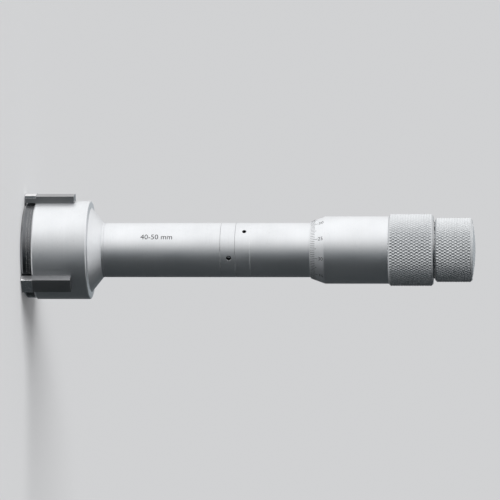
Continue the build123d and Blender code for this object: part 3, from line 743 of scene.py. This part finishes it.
def inlay(name, patches, radius_at, steps=6):
    """Thin closed plates on a turned surface, one for each row of patches: two angles and two heights.

    A corner is at (radius_at(z) + w, angle, z), with w just proud outside and just sunk inside."""
    patches = np.asarray(patches, float)
    share = np.linspace(0.0, 1.0, steps + 1)
    angle = patches[:, 0, None] + (patches[:, 1] - patches[:, 0])[:, None] * share
    low = np.repeat(patches[:, 2, None], steps + 1, axis=1)
    high = np.repeat(patches[:, 3, None], steps + 1, axis=1)
    rings = []
    for height, lift in ((low, line_proud), (high, line_proud), (high, -line_sunk), (low, -line_sunk)):
        rings.append(on_axis(radius_at(height) + lift, angle, height))
    points = np.stack(rings, axis=2)
    count = len(patches)
    first = (np.arange(count) * (steps + 1) * 4)[:, None, None]
    step = np.arange(steps)[None, :, None] * 4
    side = np.arange(4)[None, None, :]
    a = first + step + side
    b = first + step + (side + 1) % 4
    walls = np.stack([a, a + 4, b + 4, b], axis=-1).reshape(-1, 4)
    ends = np.concatenate(
        [first[:, 0] + np.array([[0, 1, 2, 3]]), first[:, 0] + steps * 4 + np.array([[3, 2, 1, 0]])]
    )
    return mesh_piece(name, points.reshape(-1, 3), np.concatenate([walls, ends]))


def figures(name, words, size, height, angle, radius_at):
    """Engraved words along the axis: drawn flat, cut into narrow strips and wrapped on the surface.

    A flat point (s, t, w) goes to height z0 + s, angle a0 - t / R and radius R(z) + w."""
    strip = 0.3 * MM
    curve = bpy.data.curves.new(name, "FONT")
    curve.body = words
    curve.size = size
    curve.align_x = "CENTER"
    curve.align_y = "CENTER"
    curve.extrude = (line_proud + line_sunk) / 2.0
    curve.resolution_u = 3
    text = link(bpy.data.objects.new(name + "_flat", curve))
    bpy.context.view_layer.update()
    mesh = bpy.data.meshes.new_from_object(text)
    bpy.data.objects.remove(text)
    bpy.data.curves.remove(curve)
    bm = bmesh.new()
    bm.from_mesh(mesh)
    bmesh.ops.remove_doubles(bm, verts=bm.verts, dist=fine_weld_gap)
    reach = max(abs(v.co.y) for v in bm.verts)
    for cut in np.arange(-reach, reach, strip):
        everything = bm.verts[:] + bm.edges[:] + bm.faces[:]
        bmesh.ops.bisect_plane(bm, geom=everything, plane_co=(0, cut, 0), plane_no=(0, 1, 0))
    bmesh.ops.remove_doubles(bm, verts=bm.verts, dist=weld_gap)
    bmesh.ops.triangulate(bm, faces=bm.faces)
    bmesh.ops.recalc_face_normals(bm, faces=bm.faces)
    bm.to_mesh(mesh)
    bm.free()
    mesh.name = name
    flat = np.empty(len(mesh.vertices) * 3)
    mesh.vertices.foreach_get("co", flat)
    flat = flat.reshape(-1, 3)
    heights = height + flat[:, 0]
    base = radius_at(heights)
    lift = flat[:, 2] + (line_proud - line_sunk) / 2.0
    turned = angle - np.degrees(flat[:, 1] / radius_at(np.array([height]))[0])
    mesh.vertices.foreach_set("co", on_axis(base + lift, turned, heights).ravel())
    mesh.update()
    return link(bpy.data.objects.new(name, mesh))


def joined(name, objects):
    """Several mesh objects made one."""
    bm = bmesh.new()
    for obj in objects:
        bm.from_mesh(obj.data)
        bpy.data.objects.remove(obj)
    mesh = bpy.data.meshes.new(name)
    bm.to_mesh(mesh)
    bm.free()
    return link(bpy.data.objects.new(name, mesh))


def painted(piece, body):
    """Gives an engraved piece its paint and its body."""
    piece.data.materials.clear()
    piece.data.materials.append(paint)
    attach(piece, body)


def on_tube(height):
    """Radius of the tube and the barrel, the same at every height."""
    return np.full(np.shape(height), tube_radius)


def on_bevel(height):
    """Radius of the thimble's bevelled end, which grows evenly with the height."""
    share = (height - thimble_low.z) / bevel_length
    return bevel_front_radius + (thimble_radius - bevel_front_radius) * np.clip(share, 0.0, 1.0)


def thimble_scale():
    """A hundred lines round the bevel, longer at every fifth and tenth, with figures for each tenth line.

    A line is 0.005 mm on the diameter, so the figures 0 to 45 count hundredths of a millimetre."""
    short, medium, long = 1.7 * MM, 2.3 * MM, 2.9 * MM
    figure_size, figure_rise = 2.0 * MM, 3.95 * MM
    number = np.arange(thimble_lines)
    apart = 360.0 / thimble_lines
    angle = datum_angle + apart * number
    length = np.where(number % 10 == 0, long, np.where(number % 5 == 0, medium, short))
    mean_radius = (thimble_radius + bevel_front_radius) / 2.0
    half_line = math.degrees(line_width / 2.0 / mean_radius)
    start = thimble_low.z + bevel_edge_margin
    patches = np.stack([angle - half_line, angle + half_line, 0 * angle + start, start + length], axis=1)
    marks = [inlay("thimble_lines", patches, on_bevel, steps=1)]
    for line in range(0, thimble_lines, 10):
        words, turned = str(line // 2), datum_angle + apart * line
        marks.append(figures(f"figure_{line}", words, figure_size, start + figure_rise, turned, on_bevel))
    painted(joined("thimble_scale", marks), "thimble")


def barrel_scale():
    """The datum line, whole millimetres on one side of it, half millimetres on the other, and figures.

    A height z reads z0 - z in millimetres, with z0 such that the thimble's edge reads the bore set."""
    short, medium, long = (math.degrees(reach * MM / tube_radius) for reach in (1.6, 2.3, 3.0))
    figure_size, figure_aside = 2.2 * MM, math.degrees(4.6 * MM / tube_radius)
    past_largest, past_smallest = 1.2 * MM, 0.6 * MM
    half_line = math.degrees(line_width / 2.0 / tube_radius)
    reading_zero = thimble_low.z + bore_set * MM
    low = reading_zero - bore_max * MM - past_largest
    high = reading_zero - bore_min * MM + past_smallest
    patches = [(datum_angle - half_line, datum_angle + half_line, low, high)]
    for halves in range(2 * bore_min, 2 * bore_max + 1):
        whole = halves % 2 == 0
        z = reading_zero - halves / 2.0 * MM
        reach = long if halves % 10 == 0 else medium if whole else short
        ends = sorted((datum_angle, datum_angle - reach if whole else datum_angle + reach))
        patches.append((*ends, z - line_width / 2.0, z + line_width / 2.0))
    marks = [inlay("barrel_lines", patches, on_tube)]
    for bore in range(bore_min, bore_max + 1, 5):
        z, turned = reading_zero - bore * MM, datum_angle - figure_aside
        marks.append(figures(f"bore_{bore}", str(bore), figure_size, z, turned, on_tube))
    painted(joined("barrel_scale", marks), "barrel")


def size_engraving():
    """The measuring range, engraved on the tube."""
    letter_size, rise, turned = 3.0 * MM, 25.2 * MM, 262.0
    words = figures("size_engraving", "40-50 mm", letter_size, tube_low.z + rise, turned, on_tube)
    painted(words, "frame")


thimble_scale()
barrel_scale()
size_engraving()


# Studio

camera_azimuth = 20.0
camera_lift = 4.4
camera_distance = 1.41
frame_share = 0.9
sensor = 36.0
backdrop = (0.66, 0.665, 0.675)
world_level = 0.5
floor_colour = (0.68, 0.685, 0.695)
floor_half = 60.0
floor_drop = 0.05 * MM
panel_radius = 2.5
pure = (1.0, 1.0, 1.0)
bluish = (0.86, 0.97, 1.04)
sun_strength = 2.2
sun_width = 40.0
sun_turn = 60.0
sun_elevation = 50.0
middle = Vector((0.0, 0.0, (cad_low.z + cad_high.z) / 2.0))


def direction(azimuth, elevation):
    """Unit vector towards a viewer at an azimuth a and an elevation e in degrees.

    It is (sin a cos e, -cos a cos e, sin e)."""
    a, e = math.radians(azimuth), math.radians(elevation)
    return Vector((math.sin(a) * math.cos(e), -math.cos(a) * math.cos(e), math.sin(e)))


def add_camera():
    """The photograph's view: the axis runs across the picture, with the head at the left."""
    data = bpy.data.cameras.new("camera")
    data.sensor_width = sensor
    length = cad_high.z - cad_low.z
    data.lens = frame_share * sensor * camera_distance / length
    camera = link(bpy.data.objects.new("camera", data))
    back = direction(camera_azimuth, camera_lift)
    right = (Vector((0, 0, 1)) - back * back.z).normalized()
    up = back.cross(right)
    turn = Matrix((right, up, back)).transposed().to_4x4()
    camera.matrix_world = Matrix.Translation(middle + back * camera_distance) @ turn
    bpy.context.scene.camera = camera


def add_world():
    """A pale surround for what is seen and mirrored, and a plain level for what it lights."""
    world = bpy.data.worlds.new("studio")
    world.use_nodes = True
    bpy.context.scene.world = world
    tree = world.node_tree
    tree.nodes.clear()
    path = tree.nodes.new("ShaderNodeLightPath")
    seen = math_node(tree, "MAXIMUM", path.outputs["Is Camera Ray"], path.outputs["Is Glossy Ray"])
    seen = math_node(tree, "MAXIMUM", seen, path.outputs["Is Transmission Ray"])
    light = tree.nodes.new("ShaderNodeBackground")
    light.inputs["Strength"].default_value = world_level
    shown = tree.nodes.new("ShaderNodeBackground")
    shown.inputs["Color"].default_value = (*backdrop, 1.0)
    mix = tree.nodes.new("ShaderNodeMixShader")
    tree.links.new(seen, mix.inputs["Fac"])
    tree.links.new(light.outputs[0], mix.inputs[1])
    tree.links.new(shown.outputs[0], mix.inputs[2])
    output = tree.nodes.new("ShaderNodeOutputWorld")
    tree.links.new(mix.outputs[0], output.inputs["Surface"])


def add_floor():
    """A wide pale floor that takes the object's shadow. Seen from below it is clear."""
    height = cad_low.z - floor_drop
    corners = [(-1.0, -1.0), (1.0, -1.0), (1.0, 1.0), (-1.0, 1.0)]
    corners = np.array([(floor_half * x, floor_half * y, height) for x, y in corners])
    floor = mesh_piece("floor", corners, np.array([[0, 1, 2, 3]]))
    material, tree, shader = new_material("floor")
    shader.inputs["Base Color"].default_value = (*floor_colour, 1.0)
    shader.inputs["Roughness"].default_value = 0.9
    shader.inputs["Specular IOR Level"].default_value = 0.0
    clear = tree.nodes.new("ShaderNodeBsdfTransparent")
    side = tree.nodes.new("ShaderNodeNewGeometry")
    mix = tree.nodes.new("ShaderNodeMixShader")
    tree.links.new(side.outputs["Backfacing"], mix.inputs["Fac"])
    tree.links.new(shader.outputs[0], mix.inputs[1])
    tree.links.new(clear.outputs[0], mix.inputs[2])
    tree.links.new(mix.outputs[0], tree.nodes["Material Output"].inputs["Surface"])
    floor.data.materials.append(material)
    floor.visible_glossy = False


def add_panel(name, turns, levels, elevations, colour, columns=49, rows=25):
    """A curved card about the object that only reflections see, brighter or darker along its turn.

    A turn of 0 is at the camera, and turns grow towards the side that is upwards in the photograph. A point
    is middle + R (sin a cos e, -cos a cos e, sin e), with the azimuth a = camera azimuth - turn and the
    elevation e. The level at a turn runs straight between the levels given."""
    turn = np.linspace(turns[0], turns[-1], columns)
    azimuth = np.radians(camera_azimuth - turn)[None, :]
    elevation = np.radians(np.linspace(*elevations, rows))[:, None]
    level_part, upright = np.cos(elevation), np.sin(elevation) + 0 * azimuth
    points = np.stack([np.sin(azimuth) * level_part, -np.cos(azimuth) * level_part, upright], axis=-1)
    points = points.reshape(-1, 3) * panel_radius + np.array(middle)
    row, column = np.meshgrid(np.arange(rows - 1), np.arange(columns - 1), indexing="ij")
    corner = (row * columns + column).ravel()
    faces = np.stack([corner, corner + columns, corner + columns + 1, corner + 1], axis=1)
    panel = mesh_piece(name, points, faces)
    level = panel.data.attributes.new("level", "FLOAT", "POINT")
    level.data.foreach_set("value", np.tile(np.interp(turn, turns, levels), rows))
    material = bpy.data.materials.new(name)
    material.use_nodes = True
    material.cycles.emission_sampling = "NONE"
    tree = material.node_tree
    tree.nodes.clear()
    read = tree.nodes.new("ShaderNodeAttribute")
    read.attribute_name = "level"
    glow = tree.nodes.new("ShaderNodeEmission")
    glow.inputs["Color"].default_value = (*colour, 1.0)
    output = tree.nodes.new("ShaderNodeOutputMaterial")
    tree.links.new(read.outputs["Fac"], glow.inputs["Strength"])
    tree.links.new(glow.outputs[0], output.inputs["Surface"])
    panel.data.materials.append(material)
    panel.visible_camera = False
    panel.visible_diffuse = False
    panel.visible_transmission = False
    panel.visible_shadow = False


def add_sun():
    """A broad soft lamp from the side that is upwards in the photograph."""
    data = bpy.data.lights.new("key", "SUN")
    data.energy = sun_strength
    data.angle = math.radians(sun_width)
    lamp = link(bpy.data.objects.new("key", data))
    towards = direction(camera_azimuth - sun_turn, sun_elevation)
    lamp.matrix_world = towards.to_track_quat("Z", "Y").to_matrix().to_4x4()
    lamp.visible_glossy = False


add_camera()
add_world()
add_floor()
add_panel(
    "softbox",
    turns=(-2.0, 10.0, 22.0, 40.0, 60.0, 135.0, 172.0),
    levels=(0.3, 0.55, 0.82, 1.1, 1.2, 1.15, 0.55),
    elevations=(-60.0, 75.0), colour=pure,
)
add_panel(
    "top_softbox",
    turns=(-180.0, 180.0),
    levels=(1.2, 1.2),
    elevations=(75.0, 89.9), colour=pure,
)
add_panel(
    "bottom_softbox",
    turns=(-180.0, 180.0),
    levels=(1.1, 1.1),
    elevations=(-89.9, -66.0), colour=pure,
)
add_panel(
    "dark_card",
    turns=(-188.0, -170.0, -150.0, -43.0, -25.0, -12.0, -2.0),
    levels=(0.55, 0.2, 0.05, 0.045, 0.07, 0.16, 0.3),
    elevations=(-48.0, 60.0), colour=bluish,
)
add_sun()
